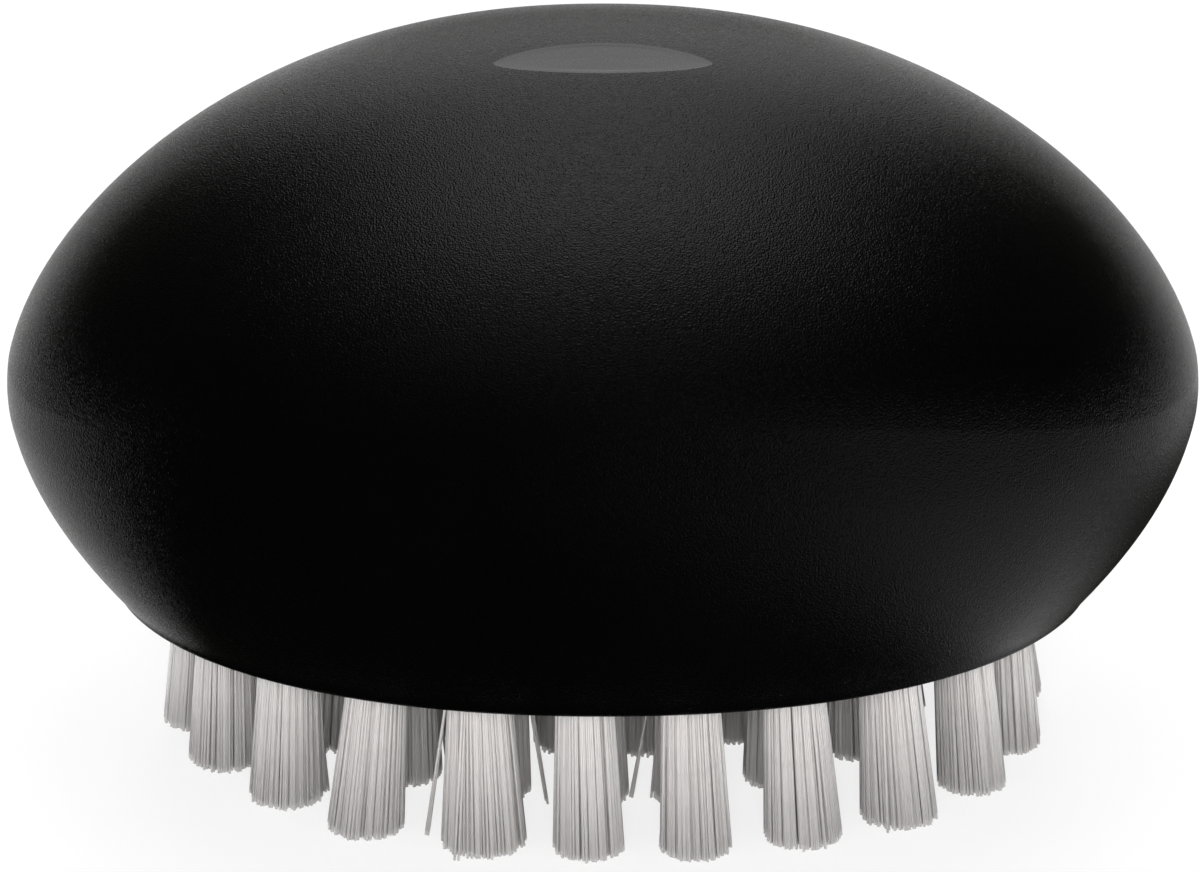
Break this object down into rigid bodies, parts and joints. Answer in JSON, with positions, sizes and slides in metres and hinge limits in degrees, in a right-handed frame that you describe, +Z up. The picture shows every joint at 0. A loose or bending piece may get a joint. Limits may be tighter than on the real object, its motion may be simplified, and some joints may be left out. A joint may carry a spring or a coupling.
{
  "type": "vegetable brush",
  "caption": "Palm-held vegetable brush: a soft oval dome grip with a finger crease over a rigid core, closed by a recessed block of short, stiff nylon bristle tufts.",
  "frame": {"origin": "centre of the grip's oval, on the surface that the bristle tips stand on", "axes": "+X along the grip's length, +Y across its width, +Z up from the bristle tips to the crown"},
  "size_m": [0.086, 0.0612, 0.0524],
  "materials": {
    "grip_rubber": "matte, fine grained",
    "core_plastic": "matte",
    "block_plastic": "matte",
    "bristle_nylon": "satin, slightly translucent",
    "anchor_wire": "drawn"
  },
  "bodies": {
    "root": {"grip_shell": "grip_rubber", "handle_core": "core_plastic", "bristle_block": "block_plastic", "tuft_anchors": "anchor_wire", "tuft_outer_01": "bristle_nylon", "tuft_outer_02": "bristle_nylon", "tuft_outer_03": "bristle_nylon", "tuft_outer_04": "bristle_nylon", "tuft_outer_05": "bristle_nylon", "tuft_outer_06": "bristle_nylon", "tuft_outer_07": "bristle_nylon", "tuft_outer_08": "bristle_nylon", "tuft_outer_09": "bristle_nylon", "tuft_outer_10": "bristle_nylon", "tuft_outer_11": "bristle_nylon", "tuft_outer_12": "bristle_nylon", "tuft_outer_13": "bristle_nylon", "tuft_outer_14": "bristle_nylon", "tuft_outer_15": "bristle_nylon", "tuft_outer_16": "bristle_nylon", "tuft_outer_17": "bristle_nylon", "tuft_outer_18": "bristle_nylon", "tuft_outer_19": "bristle_nylon", "tuft_outer_20": "bristle_nylon", "tuft_outer_21": "bristle_nylon", "tuft_middle_01": "bristle_nylon", "tuft_middle_02": "bristle_nylon", "tuft_middle_03": "bristle_nylon", "tuft_middle_04": "bristle_nylon", "tuft_middle_05": "bristle_nylon", "tuft_middle_06": "bristle_nylon", "tuft_middle_07": "bristle_nylon", "tuft_middle_08": "bristle_nylon", "tuft_middle_09": "bristle_nylon", "tuft_middle_10": "bristle_nylon", "tuft_middle_11": "bristle_nylon", "tuft_middle_12": "bristle_nylon", "tuft_middle_13": "bristle_nylon", "tuft_middle_14": "bristle_nylon", "tuft_middle_15": "bristle_nylon", "tuft_inner_01": "bristle_nylon", "tuft_inner_02": "bristle_nylon", "tuft_inner_03": "bristle_nylon", "tuft_inner_04": "bristle_nylon", "tuft_inner_05": "bristle_nylon", "tuft_inner_06": "bristle_nylon", "tuft_inner_07": "bristle_nylon", "tuft_inner_08": "bristle_nylon"}
  },
  "joints": []
}
